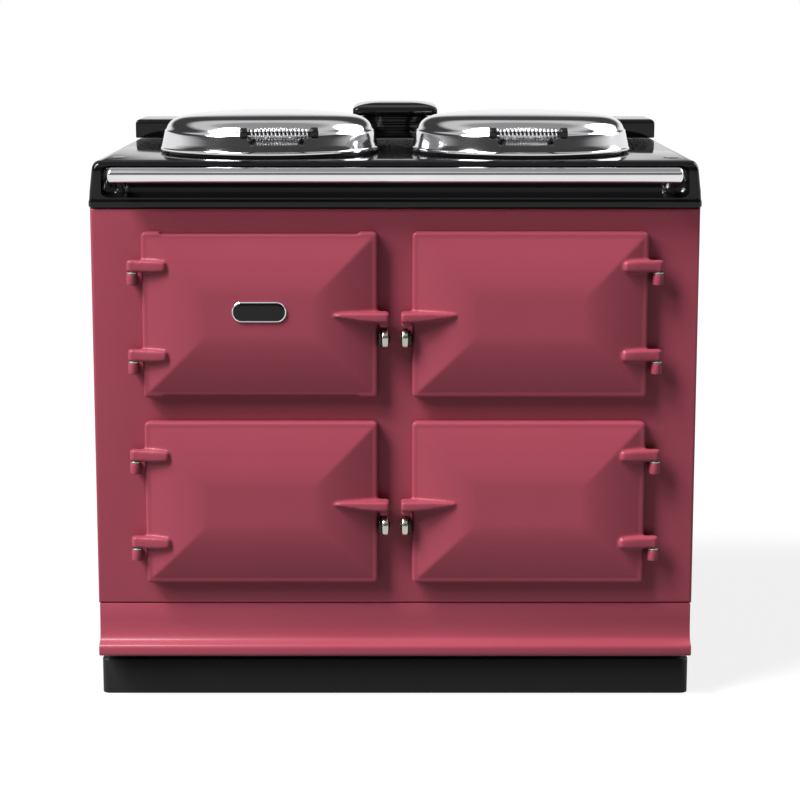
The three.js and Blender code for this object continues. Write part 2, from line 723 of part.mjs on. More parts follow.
function handleSpring() {
  const points = Array.from({ length: springSteps + 1 }, (_, step) => springPoint(step));
  const ends = [points[0], points[springSteps]];
  points.unshift(new THREE.Vector3(-springHalf, ends[0].y, ends[0].z));
  points.push(new THREE.Vector3(springHalf, ends[1].y, ends[1].z));
  const axis = new THREE.Vector3(1, 0, 0);
  return loft(points.map((point, i) => {
    const before = points[Math.max(i - 1, 0)];
    const after = points[Math.min(i + 1, points.length - 1)];
    const way = after.clone().sub(before).normalize();
    const out = new THREE.Vector3(0, point.y, point.z).normalize();
    const across = way.clone().cross(out).normalize();
    const normal = across.clone().cross(way);
    return Array.from({ length: 5 }, (_, k) => {
      const angle = (k / 5) * 2 * Math.PI;
      const spoke = normal.clone().multiplyScalar(Math.cos(angle)).addScaledVector(across, Math.sin(angle));
      return point.clone().addScaledVector(spoke, springWire / 2).toArray();
    });
  })).translate([0, -lidRadius - handleProud, handleRise]);
}

function springSelfGap() {
  let least = Infinity;
  for (let i = 0; i <= springSteps; i += 1) {
    for (let j = i + 5; j <= Math.min(i + 12, springSteps); j += 1) {
      least = Math.min(least, springPoint(i).distanceTo(springPoint(j)) - springWire);
    }
  }
  return least;
}
console.log(`least gap between the spring's coils: ${springSelfGap().toFixed(2)} mm`);

// Rear upstand: a low box across the back, notched for the vent
function rearUpstand() {
  const [half, frontY] = [overallWidth / 2 - upstandSideInset, upstandFront];
  const [halfY, middleY] = [(backY - frontY) / 2, (backY + frontY) / 2];
  const steps = [[0, 0], [0.5, 0.75], [2, 0.92], [6, 1]];
  const block = loft(steps.map(([inset, share]) => {
    const section = roundedSection(half - inset, halfY - inset, 8 + inset * 0.2, 3);
    return placed(section, 'z', plateTop + seatGap + share * (upstandHeight - seatGap), 0, middleY);
  }));
  const notch = ventWidth / 2 + seatGap;
  return block.subtract(box(-notch, notch, frontY - 1, backY - ventRearWall + seatGap, plateTop - 1, plateTop + upstandHeight + 1));
}

// Vent stack: fins over a narrower core
function ventStack() {
  const rearY = backY - ventRearWall;
  const top = plateTop + ventHeight;
  const pitch = (ventHeight - seatGap) / ventFins;
  const middleY = (ventFront + rearY) / 2;
  const sections = [];
  for (let i = 0; i < ventFins; i += 1) {
    const foot = plateTop + seatGap + i * pitch;
    for (const [inset, rise] of [[5, 0], [5, pitch * 0.35], [0, pitch * 0.5], [0, pitch * 0.8]]) {
      const section = roundedSection(ventWidth / 2 - inset, (rearY - ventFront) / 2 - inset, 8, 2);
      sections.push(placed(section, 'z', foot + rise, 0, middleY));
    }
  }
  const crown = roundedSection(ventWidth / 2 - 5, (rearY - ventFront) / 2 - 5, 8, 2);
  sections.push(placed(crown, 'z', top - 0.4, 0, middleY), placed(crown, 'z', top, 0, middleY));
  return loft(sections);
}

function ventCap() {
  const overhang = (capWidth - ventWidth) / 2;
  const [frontY, rearY] = [ventFront - overhang, backY - 4];
  const foot = plateTop + ventHeight + seatGap;
  const steps = [[6, 0], [1, 2], [0, 5], [0, capLip], [1.5, capLip + 2], [7, capLip + 5], [18, capLip + 8.5], [34, capHeight - seatGap]];
  return loft(steps.map(([inset, height]) => {
    const section = roundedSection(capWidth / 2 - inset, (rearY - frontY) / 2 - inset, 16, 4);
    return placed(section, 'z', foot + height, 0, (frontY + rearY) / 2);
  }));
}

const cooker = new THREE.Group();
cooker.position.set(0, -(frontMost + backY) / 2, 0);

function place(parent, name, shape, finish, x = 0, y = 0, z = 0) {
  const mesh = meshOf(name, shape, finish);
  mesh.position.set(x, y, z);
  parent.add(mesh);
}

function groupAt(x, y, z) {
  const group = new THREE.Group();
  group.position.set(x, y, z);
  cooker.add(group);
  return group;
}

// Plinth, base and casing
place(cooker, 'plinth', plinth(), satinBlack);
place(cooker, 'base_plate', basePlate(), castIron);
const footX = panelHalf - footInset;
const footPlaces = { front_left: [-footX, plinthSetback + footInset], front_right: [footX, plinthSetback + footInset] };
footPlaces.rear_left = [-footX, backY - plinthRearInset - footInset];
footPlaces.rear_right = [footX, backY - plinthRearInset - footInset];
for (const [name, [x, y]] of Object.entries(footPlaces)) {
  place(cooker, `foot_${name}`, foot(), steel, x, y, 0);
}
place(cooker, 'base_moulding', baseMoulding(), enamel);
place(cooker, 'front_panel', frontPanel(), enamel);
place(cooker, 'side_panel_left', sidePanel(-1), enamel);
place(cooker, 'side_panel_right', sidePanel(1), enamel);
place(cooker, 'back_panel', backPanel(), steel);
const plate = topPlate();
place(cooker, 'top_plate', plate, blackEnamel);
place(cooker, 'rear_upstand', rearUpstand(), blackEnamel);
place(cooker, 'vent_stack', ventStack(), blackEnamel);
place(cooker, 'vent_cap', ventCap(), blackEnamel);
place(cooker, 'handrail', handrail().add(railPost(-1, plate)).add(railPost(1, plate)), chrome);

// Doors, their hinges and their catches
for (const { name, x, z, side } of doorPlaces) {
  const isControl = name === 'upper_left';
  const group = groupAt(x, 0, z);
  place(group, `door_${name}`, door(side, isControl), enamel);
  if (!isControl) place(group, `door_plug_${name}`, doorPlug(), steel);
  armRises.forEach((rise, i) => {
    const level = i === 0 ? 'top' : 'bottom';
    const foot = rise - lugTopBelowArm - pinInLug;
    place(group, `hinge_pin_${name}_${level}`, hingePin(), steel, side * hingeU, -hingeProud, foot);
  });
  const catchGroup = groupAt(0, 0, z - wheelDrop);
  place(catchGroup, `catch_bracket_${name}`, catchBracket(side), satinBlack);
  place(catchGroup, `catch_wheel_${name}`, catchWheel(), chrome, side * wheelFromMiddle, -wheelProud, 0);
}
const [controlDoor, roastingDoor, bakingDoor, simmeringDoor] = doorPlaces;
place(groupAt(controlDoor.x, 0, controlDoor.z), 'name_plate', namePlate(), blackEnamel, 0, 0, namePlateRise);

// Ovens, shelves and controls
for (const [name, { x, z }] of [['roasting', roastingDoor], ['baking', bakingDoor], ['simmering', simmeringDoor]]) {
  const group = groupAt(x, 0, z);
  place(group, `${name}_oven`, ovenBox(ovenDepth, true), ovenEnamel);
  place(group, `${name}_shelf`, ovenShelf(), steel, 0, 0, -runnerPitch / 2);
}
const controls = groupAt(controlDoor.x, 0, controlDoor.z);
place(controls, 'control_box', ovenBox(controlDepth, false), ovenEnamel);
const knobY = castWall + seatGap + controlDepth - ovenWall - seatGap;
for (let i = 0; i < knobCount; i += 1) {
  place(controls, `control_knob_${i + 1}`, controlKnob(), satinBlack, (i - (knobCount - 1) / 2) * knobPitch, knobY, 0);
}

// Hotplates and lids; the left lid's handle stands one facet round to the right
const lidPlaces = [{ name: 'left', x: -lidX, turn: (2 * Math.PI) / lidSides }, { name: 'right', x: lidX, turn: 0 }];
for (const { name, x, turn } of lidPlaces) {
  const group = groupAt(x, lidCentreY(), plateTop);
  place(group, `hotplate_${name}`, hotplate(), castIron);
  place(group, `lid_${name}`, lidShell(), chrome);
  place(group, `lid_hinge_${name}`, lidHinge(), chrome);
  const handle = new THREE.Group();
  handle.rotation.z = turn;
  group.add(handle);
  place(handle, `lid_handle_${name}`, lidHandle(), satinBlack);
  place(handle, `lid_spring_${name}`, handleSpring(), chrome);
}

export default cooker;
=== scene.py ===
import bpy, json, math
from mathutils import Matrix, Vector


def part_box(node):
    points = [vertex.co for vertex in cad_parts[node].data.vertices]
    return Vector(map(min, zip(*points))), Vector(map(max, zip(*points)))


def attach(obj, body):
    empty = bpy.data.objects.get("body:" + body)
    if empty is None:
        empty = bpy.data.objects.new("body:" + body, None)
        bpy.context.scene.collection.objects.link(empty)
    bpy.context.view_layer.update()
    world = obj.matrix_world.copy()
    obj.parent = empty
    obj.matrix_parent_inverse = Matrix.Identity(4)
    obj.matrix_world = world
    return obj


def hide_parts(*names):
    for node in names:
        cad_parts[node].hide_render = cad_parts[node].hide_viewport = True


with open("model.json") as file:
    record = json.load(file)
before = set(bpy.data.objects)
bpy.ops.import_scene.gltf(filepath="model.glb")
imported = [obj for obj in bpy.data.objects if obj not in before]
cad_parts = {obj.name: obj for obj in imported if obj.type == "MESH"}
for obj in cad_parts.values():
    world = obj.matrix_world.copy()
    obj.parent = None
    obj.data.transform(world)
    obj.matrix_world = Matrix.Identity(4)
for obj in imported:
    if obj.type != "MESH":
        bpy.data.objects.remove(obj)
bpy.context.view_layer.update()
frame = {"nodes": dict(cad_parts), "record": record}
nodes = frame["nodes"]
mm = 0.001
print("frame loaded:", len(nodes), "nodes")


# small tools for modelling, with sizes in millimetres and points in metres
def deselect():
    if bpy.context.mode != "OBJECT":
        bpy.ops.object.mode_set(mode="OBJECT")
    bpy.ops.object.select_all(action="DESELECT")


def activate(piece):
    deselect()
    piece.select_set(True)
    bpy.context.view_layer.objects.active = piece


def named(name):
    piece = bpy.context.object
    piece.name = name
    bpy.ops.object.transform_apply(location=True, rotation=True, scale=True)
    return piece


def boxBetween(name, low, high):
    deselect()
    middle = [(a + b) / 2 for a, b in zip(low, high)]
    size = [abs(b - a) for a, b in zip(low, high)]
    bpy.ops.mesh.primitive_cube_add(size=1, location=middle, scale=size)
    return named(name)


turns = {"x": (0, math.pi / 2, 0), "y": (math.pi / 2, 0, 0), "z": (0, 0, 0)}
axisVectors = {"x": (1, 0, 0), "y": (0, 1, 0), "z": (0, 0, 1)}


def rodAlong(name, axis, radius, middle, length, sides):
    deselect()
    bpy.ops.mesh.primitive_cylinder_add(vertices=sides, radius=radius * mm, depth=length * mm,
                                        location=middle, rotation=turns[axis])
    return named(name)


def chain(name, points):
    # a line of points drawn one after another, as by hand with the extrude key
    deselect()
    bpy.ops.mesh.primitive_plane_add(size=0.001, location=points[0])
    piece = named(name)
    bpy.ops.object.mode_set(mode="EDIT")
    bpy.ops.mesh.select_mode(type="VERT")
    bpy.ops.mesh.select_all(action="SELECT")
    bpy.ops.mesh.merge(type="CENTER")
    for before, after in zip(points, points[1:]):
        step = tuple(Vector(after) - Vector(before))
        bpy.ops.mesh.extrude_region_move(TRANSFORM_OT_translate={"value": step})
    return piece


def closeSkin():
    bpy.ops.mesh.select_all(action="SELECT")
    bpy.ops.mesh.remove_doubles(threshold=0.000002)
    bpy.ops.mesh.normals_make_consistent(inside=False)
    bpy.ops.object.mode_set(mode="OBJECT")


def turned(name, profile, axis, middle, steps):
    # profile: (radius, height) from the middle, spun once about the axis
    along, outward = Vector(axisVectors[axis]), Vector(axisVectors["y" if axis == "x" else "x"])
    points = [tuple(Vector(middle) + outward * radius * mm + along * height * mm) for radius, height in profile]
    piece = chain(name, points)
    bpy.ops.mesh.select_all(action="SELECT")
    bpy.ops.mesh.spin(steps=steps, angle=2 * math.pi, center=middle, axis=axisVectors[axis])
    closeSkin()
    return piece


def extruded(name, points, way):
    # a closed outline pulled along one way
    piece = chain(name, points)
    bpy.ops.mesh.select_all(action="SELECT")
    bpy.ops.mesh.edge_face_add()
    bpy.ops.mesh.extrude_region_move(TRANSFORM_OT_translate={"value": tuple(share * mm for share in way)})
    closeSkin()
    return piece


def arc(centre, radius, start, end, steps=6):
    # points on an arc in two dimensions, angles in degrees
    angles = [math.radians(start + (end - start) * i / steps) for i in range(steps + 1)]
    return [(centre[0] + radius * math.cos(a), centre[1] + radius * math.sin(a)) for a in angles]


def modify(piece, kind, **settings):
    activate(piece)
    modifier = piece.modifiers.new(kind, kind)
    for key, value in settings.items():
        setattr(modifier, key, value)
    bpy.ops.object.modifier_apply(modifier=modifier.name)
    return piece


def bevelled(piece, width, segments, angle):
    return modify(piece, "BEVEL", width=width * mm, segments=segments, limit_method="ANGLE",
                  angle_limit=math.radians(angle))


def cutBy(piece, cutter, operation="DIFFERENCE"):
    modify(piece, "BOOLEAN", object=cutter, operation=operation, solver="EXACT")
    bpy.data.objects.remove(cutter, do_unlink=True)
    return piece


def joined(pieces, name):
    deselect()
    for piece in pieces:
        piece.select_set(True)
    bpy.context.view_layer.objects.active = pieces[0]
    if len(pieces) > 1:
        bpy.ops.object.join()
    pieces[0].name = name
    return pieces[0]


def meltedTogether(piece, voxel, rounds):
    # one cast skin over what was joined, its inside corners softened
    modify(piece, "REMESH", mode="VOXEL", voxel_size=voxel * mm, adaptivity=0)
    return modify(piece, "SMOOTH", factor=0.5, iterations=rounds)


def selectFaces(piece, test):
    # leaves the piece in edit mode with the faces that pass the test selected
    activate(piece)
    for polygon in piece.data.polygons:
        polygon.select = test(polygon)
    for edge in piece.data.edges:
        edge.select = False
    for vertex in piece.data.vertices:
        vertex.select = False
    for polygon in piece.data.polygons:
        if polygon.select:
            for index in polygon.vertices:
                piece.data.vertices[index].select = True
    bpy.ops.object.mode_set(mode="EDIT")
    bpy.ops.mesh.select_mode(type="FACE")


def bevelEdges(piece, test, width, segments):
    # rounds only the edges whose two ends pass the test
    activate(piece)
    corners = piece.data.vertices
    for kind in (piece.data.polygons, piece.data.edges, corners):
        for element in kind:
            element.select = False
    for edge in piece.data.edges:
        edge.select = test(*[corners[index].co for index in edge.vertices])
        if edge.select:
            for index in edge.vertices:
                corners[index].select = True
    bpy.ops.object.mode_set(mode="EDIT")
    bpy.ops.mesh.select_mode(type="EDGE")
    bpy.ops.mesh.bevel(offset=width * mm, segments=segments, affect="EDGES")
    bpy.ops.object.mode_set(mode="OBJECT")


def swung(piece, degrees, axis, middle):
    # with no window the operator turns the other way
    activate(piece)
    bpy.ops.object.mode_set(mode="EDIT")
    bpy.ops.mesh.select_all(action="SELECT")
    bpy.ops.transform.rotate(value=-math.radians(degrees), orient_axis=axis, center_override=middle)
    bpy.ops.object.mode_set(mode="OBJECT")


def dressed(piece, finish, body, replaced, angle=40):
    # its skin, the body that it rides on, the nodes that it stands for and its material slot
    activate(piece)
    bpy.ops.object.shade_smooth_by_angle(angle=math.radians(angle))
    piece.data.materials.clear()
    piece.data.materials.append(finishes[finish])
    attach(piece, body)
    if replaced:
        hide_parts(*replaced)


class Wire:
    # a shader socket that reads like a number
    def __init__(self, nodes, socket):
        self.nodes, self.socket = nodes, socket

    def maths(self, operation, first, second):
        return self.nodes.add("Math", {"operation": operation}, {0: first, 1: second})

    def __add__(self, other):
        return self.maths("ADD", self, other)

    __radd__ = __add__

    def __mul__(self, other):
        return self.maths("MULTIPLY", self, other)

    __rmul__ = __mul__

    def __gt__(self, other):
        return self.maths("GREATER_THAN", self, other)


class Nodes:
    # a node tree: any node comes from its kind, its settings and what feeds its sockets
    def __init__(self, tree):
        self.tree = tree

    def add(self, kind, settings, inputs, output=0):
        node = self.tree.nodes.new("ShaderNode" + kind)
        for key, value in settings.items():
            if key == "stops":
                ramp = node.color_ramp
                while len(ramp.elements) < len(value):
                    ramp.elements.new(0.5)
                for stop, (position, colour) in zip(ramp.elements, value):
                    stop.position, stop.color = position, colour
            else:
                setattr(node, key, value)
        for key, value in inputs.items():
            self.feed(node.inputs[key], value)
        return Wire(self, node.outputs[output])

    def feed(self, target, value):
        if isinstance(value, Wire):
            self.tree.links.new(value.socket, target)
        else:
            target.default_value = value

    def shown(self):
        # 1 for the rays that show the background: seen, mirrored or seen through glass
        seen, mirrored, through = [self.add("LightPath", {}, {}, kind)
                                   for kind in ("Is Camera Ray", "Is Glossy Ray", "Is Transmission Ray")]
        return self.add("Math", {"operation": "ADD", "use_clamp": True}, {0: seen + mirrored, 1: through})


class Finish(Nodes):
    # one material: its fixed values on the sockets, its pattern from nodes
    def __init__(self, name, fixed):
        self.material = bpy.data.materials.new(name)
        self.material.use_nodes = True
        super().__init__(self.material.node_tree)
        self.surface = self.tree.nodes["Principled BSDF"]
        for socket, value in fixed.items():
            self.surface.inputs[socket].default_value = value
        self.place = self.add("TexCoord", {}, {}, "Object")

    def drive(self, socket, value):
        self.feed(self.surface.inputs[socket], value)

    def noise(self, size, detail=3, roughness=0.5, place=None):
        # size is the pattern's grain in metres
        inputs = {"Vector": place or self.place, "Scale": 1 / size, "Detail": detail, "Roughness": roughness}
        return self.add("TexNoise", {}, inputs, "Fac")

    def blend(self, share, first, second):
        # sockets 6 and 7 are the colours of a Mix node set to colours
        return self.add("Mix", {"data_type": "RGBA"}, {0: share, 6: first, 7: second}, 2)

    def bumps(self, height, depth, strength, under=None):
        inputs = {"Height": height, "Distance": depth, "Strength": strength}
        if under:
            inputs["Normal"] = under
        return self.add("Bump", {}, inputs, "Normal")

    def stretched(self, scale):
        return self.add("Mapping", {}, {"Vector": self.place, "Scale": scale})


def enamelFinish(name, look):
    finish = Finish(name, {"Coat Weight": look["coat"], "Coat Roughness": look["coatRoughness"], "IOR": 1.5,
                           "Specular IOR Level": look["specular"]})
    cloud = finish.noise(look["cloud"], 4)
    fleck = finish.noise(look["fleck"], 2, 0.7)
    colour = finish.blend(cloud, look["deep"], look["colour"])
    finish.drive("Base Color", finish.blend(((fleck > 0.67) * 0.35), colour, look["pale"]))
    finish.drive("Roughness", cloud * look["drift"] + (look["roughness"] - look["drift"] / 2))
    flow = finish.bumps(finish.noise(look["flow"], 3), look["flowDepth"], 0.6)
    finish.drive("Normal", finish.bumps(finish.noise(look["peel"], 2), look["peelDepth"], 0.5, flow))
    return finish.material


def metalFinish(name, look):
    finish = Finish(name, {"Metallic": 1.0, "IOR": 1.6})
    brushed = finish.noise(look["grain"], 4, 0.6, finish.stretched(look["stretch"]))
    stain = finish.noise(look["stain"], 4)
    colour = finish.blend(stain, look["dark"], look["colour"])
    finish.drive("Base Color", finish.blend((brushed * look["streak"]), colour, look["dark"]))
    finish.drive("Roughness", brushed * look["drift"] + stain * look["drift"] + look["roughness"])
    finish.drive("Normal", finish.bumps(brushed, look["depth"], 0.5))
    return finish.material


def grainyFinish(name, look):
    # cast or painted surfaces with a sandy skin
    finish = Finish(name, {"Metallic": look["metallic"], "IOR": 1.45, "Specular IOR Level": look["specular"]})
    sand = finish.noise(look["sand"], 3, 0.65)
    patch = finish.noise(look["patch"], 4)
    finish.drive("Base Color", finish.blend(patch * 0.7 + sand * 0.3, look["dark"], look["colour"]))
    finish.drive("Roughness", sand * look["drift"] + look["roughness"])
    finish.drive("Normal", finish.bumps(sand, look["depth"], 0.7))
    return finish.material


def tone(red, green, blue):
    # a colour as the eye sees it, 0 to 255, as Blender's own linear value
    linear = [((v / 255 + 0.055) / 1.055) ** 2.4 if v > 10 else v / 255 / 12.92 for v in (red, green, blue)]
    return (*linear, 1.0)


enamelLook = {"colour": tone(155, 67, 83), "deep": tone(147, 61, 77), "pale": tone(164, 77, 94),
              "coat": 0.1, "specular": 0.16, "coatRoughness": 0.2, "roughness": 0.42, "drift": 0.08,
              "cloud": 0.35, "fleck": 0.0014, "flow": 0.05, "flowDepth": 0.0004, "peel": 0.004, "peelDepth": 0.00004}
blackLook = {"colour": tone(15, 15, 17), "deep": tone(9, 9, 10), "pale": tone(24, 24, 26),
             "coat": 0.0, "specular": 0.24, "coatRoughness": 0.03, "roughness": 0.09, "drift": 0.05,
             "cloud": 0.25, "fleck": 0.0012, "flow": 0.06, "flowDepth": 0.0003, "peel": 0.006, "peelDepth": 0.00003}
chromeLook = {"colour": tone(233, 233, 235), "dark": tone(208, 208, 211), "grain": 0.02, "stretch": (1, 1, 30),
              "stain": 0.08, "streak": 0.12, "drift": 0.03, "roughness": 0.06, "depth": 0.000004}
railLook = {**chromeLook, "stretch": (1, 40, 40), "roughness": 0.1, "streak": 0.25}
springLook = {**chromeLook, "colour": tone(214, 214, 214), "grain": 0.004, "stretch": (1, 1, 1), "roughness": 0.16}
wheelLook = {**chromeLook, "colour": tone(205, 203, 192), "dark": tone(160, 157, 146), "roughness": 0.18}
steelLook = {**chromeLook, "colour": tone(176, 176, 172), "dark": tone(140, 139, 135), "roughness": 0.32,
             "grain": 0.01, "drift": 0.08, "stretch": (1, 30, 30), "depth": 0.00002}
zincLook = {**steelLook, "colour": tone(168, 171, 173), "dark": tone(128, 131, 134), "stretch": (1, 1, 1),
            "grain": 0.03, "roughness": 0.38}
satinLook = {"colour": tone(33, 33, 34), "dark": tone(23, 23, 24), "sand": 0.0016, "patch": 0.12,
             "metallic": 0.0, "specular": 0.2, "drift": 0.15, "roughness": 0.42, "depth": 0.0001}
ironLook = {"colour": tone(70, 68, 66), "dark": tone(44, 43, 42), "sand": 0.0022, "patch": 0.09,
            "metallic": 0.6, "specular": 0.4, "drift": 0.2, "roughness": 0.4, "depth": 0.00016}
ovenLook = {"colour": tone(40, 40, 42), "dark": tone(22, 22, 24), "sand": 0.003, "patch": 0.1,
            "metallic": 0.0, "specular": 0.3, "drift": 0.2, "roughness": 0.45, "depth": 0.0002}
handleBlackLook = {**satinLook, "colour": tone(26, 26, 27), "dark": tone(15, 15, 16), "specular": 0.35,
                   "roughness": 0.2, "drift": 0.1, "depth": 0.00004}
finishes = {
    "enamel": enamelFinish("raspberryEnamel", enamelLook),
    "black": enamelFinish("blackEnamel", blackLook),
    "chrome": metalFinish("polishedChrome", chromeLook),
    "rail": metalFinish("railChrome", railLook),
    "spring": metalFinish("springWire", springLook),
    "wheel": metalFinish("wheelSteel", wheelLook),
    "steel": metalFinish("brushedSteel", steelLook),
    "zinc": metalFinish("zincSheet", zincLook),
    "satin": grainyFinish("satinBlack", satinLook),
    "iron": grainyFinish("castIron", ironLook),
    "handle": grainyFinish("handleBlack", handleBlackLook),
    "oven": grainyFinish("ovenEnamel", ovenLook),
}
print("finishes mixed")


faceY = -0.3255  # the front panel's face


def at(x, y, z):
    # millimetres from the middle, the front panel's face and the floor
    return (x * mm, faceY + y * mm, z * mm)


def block(name, x, y, z):
    return boxBetween(name, at(x[0], y[0], z[0]), at(x[1], y[1], z[1]))


def lofted(name, stations):
    # one bar run along X: at each station x, the middle (y, z) and the half sizes (y, z)
    deselect()
    x, y, z, halfY, halfZ = stations[0]
    bpy.ops.mesh.primitive_plane_add(size=2, location=at(x, y, z), rotation=(0, math.pi / 2, 0))
    bpy.context.object.scale = (halfZ * mm, halfY * mm, 1)
    bar = named(name)
    bpy.ops.object.mode_set(mode="EDIT")
    bpy.ops.mesh.select_all(action="SELECT")
    for before, after in zip(stations, stations[1:]):
        step = tuple(Vector(at(*after[:3])) - Vector(at(*before[:3])))
        bpy.ops.mesh.extrude_region_move(TRANSFORM_OT_translate={"value": step})
        share = (1, after[3] / before[3], after[4] / before[4])
        bpy.ops.transform.resize(value=share, center_override=at(*after[:3]))
    closeSkin()
    return bar


def outlined(halfU, halfV, corner, steps=5):
    # a rectangle with round corners as points
    middles = ((1, 1, 0), (-1, 1, 90), (-1, -1, 180), (1, -1, 270))
    points = []
    for signU, signV, start in middles:
        points += arc((signU * (halfU - corner), signV * (halfV - corner)), corner, start, start + 90, steps)
    return points


# doors: name, middle x and z, and the side that the hinges are on
doors = [("upper_left", -217.5, 645, -1), ("upper_right", 217.5, 645, 1),
         ("lower_left", -217.5, 335, -1), ("lower_right", 217.5, 335, 1)]
# rim: steps in and out round the edge; crown, slope, steps and fall shape the pillow inside it
doorLook = {"width": 380, "height": 270, "gap": 1, "edge": 15, "corner": 8,
            "rim": ((1.1, 2.2), (1.3, 1.2), (1.6, 0.6), (4.5, 0.3)),
            "crown": 19.7, "slope": 94, "steps": 14, "fall": 1.58, "voxel": 2, "rounds": 5}
# the control door's top and bottom edges stand in between its ends
reliefLook = {"door": "upper_left", "in": 4, "past": 5, "ends": 30, "depth": (-26, 2)}
# strap: how far in from the pin, its lift, half thickness and share of the half height
hingeLook = {"out": 14.5, "proud": 20, "eye": 9.2, "half": 9.5, "drop": 1.5, "rises": (82, -63), "pin": 4.8,
             "pinIn": 12, "under": 4, "above": 1, "eyeRound": 3, "strapRound": 4.2,
             "strap": ((0, 0, 9.1, 1), (14.5, 1.2, 9.6, 1), (38, 4.2, 10.2, 1), (52, 6.2, 9.6, 0.86),
                       (56, 6.6, 8.4, 0.6))}
# fin: how far in from the door's edge, middle height, half height, front and rear
spurLook = {"drop": 17, "above": 2, "tip": (2, 17.5, 38, 14), "tipRound": 3, "finRound": 2.6,
            "fin": ((-71, 2.3, 1.7, 39.6, 20), (-60, 2.1, 3.3, 41.4, 20), (-42, 1.1, 5.3, 42.2, 20),
                    (-17, -0.2, 6.8, 43.5, 14), (0, -0.75, 7.5, 44, 12), (15, -0.75, 7.5, 44, 12),
                    (18, -0.75, 6.2, 42, 14))}


def pillow(name, x, z, look):
    halfW, halfH = look["width"] / 2, look["height"] / 2
    front = -(look["gap"] + look["edge"])
    slab = block(name, (x - halfW, x + halfW), (front, -look["gap"]), (z - halfH, z + halfH))
    selectFaces(slab, lambda polygon: polygon.normal.y < -0.9)
    for inset, rise in look["rim"]:
        bpy.ops.mesh.inset(thickness=inset * mm)
        bpy.ops.transform.translate(value=(0, -rise * mm, 0))
    for step in range(look["steps"]):
        before, after = [(1 - (step + add) / look["steps"]) ** look["fall"] for add in (0, 1)]
        bpy.ops.mesh.inset(thickness=look["slope"] / look["steps"] * mm)
        bpy.ops.transform.translate(value=(0, look["crown"] * (after - before) * mm, 0))
    bpy.ops.object.mode_set(mode="OBJECT")
    outline = [at(x + u, 10, z + v) for u, v in outlined(halfW, halfH, look["corner"])]
    return cutBy(slab, extruded("prism", outline, (0, -100, 0)), "INTERSECT")


def relieved(slab, x, z, door, look):
    reach, half = door["width"] / 2 - look["ends"], door["height"] / 2
    for end in (-1, 1):
        heights = sorted((z + end * (half - look["in"]), z + end * (half + look["past"])))
        cutBy(slab, block("cut", (x - reach, x + reach), look["depth"], heights))


def hingeStrap(x, z, side, rise, door, look):
    pinX, level = x + side * (door["width"] / 2 + look["out"]), z + rise - look["drop"]
    eye = rodAlong("eye", "z", look["eye"], at(pinX, -look["proud"], level), 2 * look["half"], 40)
    bar = lofted("strap", [(pinX - side * inward, -look["proud"] - lift, level, thick, look["half"] * share)
                           for inward, lift, thick, share in look["strap"]])
    low = level - look["half"] - look["under"]
    high = level - look["half"] + look["pinIn"] + look["above"]
    pieces = [bevelled(eye, look["eyeRound"], 3, 40), bevelled(bar, look["strapRound"], 4, 30)]
    for piece in pieces:
        place = at(pinX, -look["proud"], (low + high) / 2)
        cutBy(piece, rodAlong("bore", "z", look["pin"], place, high - low, 24))
    return pieces


def spur(x, z, side, door, look):
    edge = door["width"] / 2
    stations = [(x - side * (edge + inward), -(front + rear) / 2, z + middle, (front - rear) / 2, half)
                for inward, middle, half, front, rear in look["fin"]]
    near, far, front, rear = look["tip"]
    ends = sorted((x - side * (edge + near), x - side * (edge + far)))
    tip = block("tip", ends, (-front, -rear), (z - look["drop"], z + look["above"]))
    return [bevelled(lofted("fin", stations), look["finRound"], 3, 25), bevelled(tip, look["tipRound"], 3, 40)]


for name, x, z, side in doors:
    slab = pillow(f"{name}Slab", x, z, doorLook)
    if name == reliefLook["door"]:
        relieved(slab, x, z, doorLook, reliefLook)
    pieces = [slab]
    for rise in hingeLook["rises"]:
        pieces += hingeStrap(x, z, side, rise, doorLook, hingeLook)
    pieces += spur(x, z, side, doorLook, spurLook)
    casting = meltedTogether(joined(pieces, f"{name}DoorCasting"), doorLook["voxel"], doorLook["rounds"])
    dressed(casting, "enamel", f"{name}_door", [f"door_{name}"])
    print("  door", name, len(casting.data.polygons), "faces")
print("doors cast")


def swept(name, points, steps):
    # an outline carried on step by step: the way in metres, and its share of the size about a point
    piece = chain(name, points)
    bpy.ops.mesh.select_all(action="SELECT")
    bpy.ops.mesh.edge_face_add()
    for way, share, centre in steps:
        bpy.ops.mesh.extrude_region_move(TRANSFORM_OT_translate={"value": way})
        bpy.ops.transform.resize(value=share, center_override=centre)
    closeSkin()
    return piece


def stacked(name, look, levels):
    # a round-cornered slab built upwards: each height over its foot, and how far its edge stands in there
    sections = [(look["foot"] + height, look["half"] - inset, look["front"] + inset,
                 look["rear"] - inset * look.get("rearShare", 1)) for height, inset in levels]
    height, half, front, rear = sections[0]
    points = [at(u, (front + rear) / 2 + v, height) for u, v in outlined(half, (rear - front) / 2, look["corner"])]
    steps = []
    for before, after in zip(sections, sections[1:]):
        start = Vector(at(0, (before[2] + before[3]) / 2, before[0]))
        centre = at(0, (after[2] + after[3]) / 2, after[0])
        share = (after[1] / before[1], (after[3] - after[2]) / (before[3] - before[2]), 1)
        steps.append((tuple(Vector(centre) - start), share, centre))
    return swept(name, points, steps)


lidPlaces = [("left", -214, 7.5), ("right", 214, 0)]  # name, x, and how far the handle is turned, in degrees
lidY = 229.5
